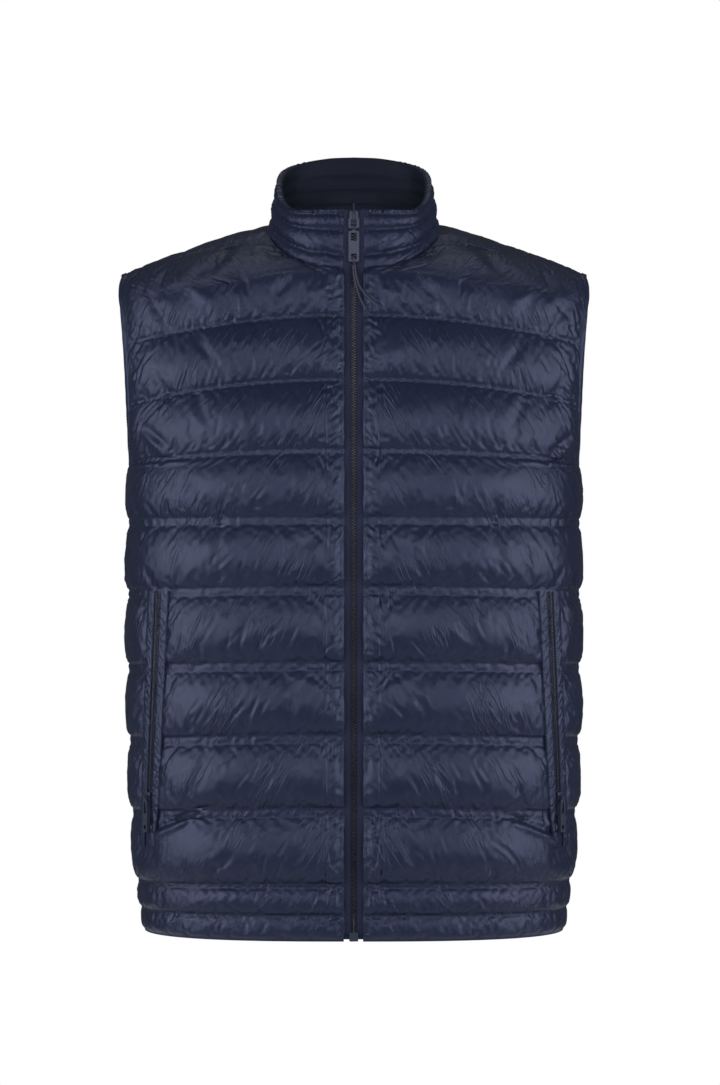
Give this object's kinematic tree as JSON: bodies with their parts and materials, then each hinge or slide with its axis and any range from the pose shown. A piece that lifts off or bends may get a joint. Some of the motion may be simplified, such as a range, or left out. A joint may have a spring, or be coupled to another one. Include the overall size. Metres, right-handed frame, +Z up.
{
  "type": "padded vest",
  "caption": "Quilted padded sleeveless jacket in its worn shape, with a stand collar, a full front zip with a linked pull and cord, and a zipped pocket on each side.",
  "frame": {"origin": "on the centre line at the height where the garment meets the base of the wearer's neck, in the middle of its depth", "axes": "+Z up, -Y to the wearer's front, +X to the wearer's left"},
  "size_m": [0.4692, 0.2695, 0.7794],
  "materials": {
    "shell": "smooth shiny nylon",
    "lining": "matt",
    "tape": "matt woven",
    "teeth": "satin",
    "metal": "satin",
    "cord": "matt"
  },
  "bodies": {
    "garment": {"front_left": "shell", "front_right": "shell", "back": "shell", "collar": "shell", "armhole_band_left": "shell", "armhole_band_right": "shell", "pocket_lip_left": "shell", "pocket_lip_right": "shell", "pocket_edge_left": "shell", "pocket_edge_right": "shell", "collar_facing": "lining", "zip_tape_left": "tape", "zip_tape_right": "tape", "zip_chain": "teeth", "pocket_chain_left": "teeth", "pocket_chain_right": "teeth", "slider": "metal", "zip_box": "metal", "pocket_slider_left": "metal", "pocket_slider_right": "metal"},
    "link": {"pull_link": "metal"},
    "tab": {"pull_tab": "metal", "cord_knot": "cord", "cord_tail_long": "cord", "cord_tail_short": "cord"},
    "pocket_pull_left": {"pocket_pull_left": "metal"},
    "pocket_pull_right": {"pocket_pull_right": "metal"}
  },
  "joints": [
    {"name": "link_swing", "type": "hinge", "parent": "garment", "child": "link", "pos_m": [0, -0.09349, 0.0006], "axis": [-1, 0, 0], "range_deg": [0, 120]},
    {"name": "tab_swing", "type": "hinge", "parent": "link", "child": "tab", "pos_m": [0, -0.09349, -0.0078], "axis": [-1, 0, 0], "range_deg": [0, 90]},
    {"name": "pocket_pull_left_swing", "type": "hinge", "parent": "garment", "child": "pocket_pull_left", "pos_m": [0.20418, -0.06634, -0.56364], "axis": [-0.6334, -0.7738, 0], "range_deg": [0, 120]},
    {"name": "pocket_pull_right_swing", "type": "hinge", "parent": "garment", "child": "pocket_pull_right", "pos_m": [-0.20418, -0.06634, -0.56364], "axis": [-0.6334, 0.7738, 0], "range_deg": [0, 120]}
  ]
}
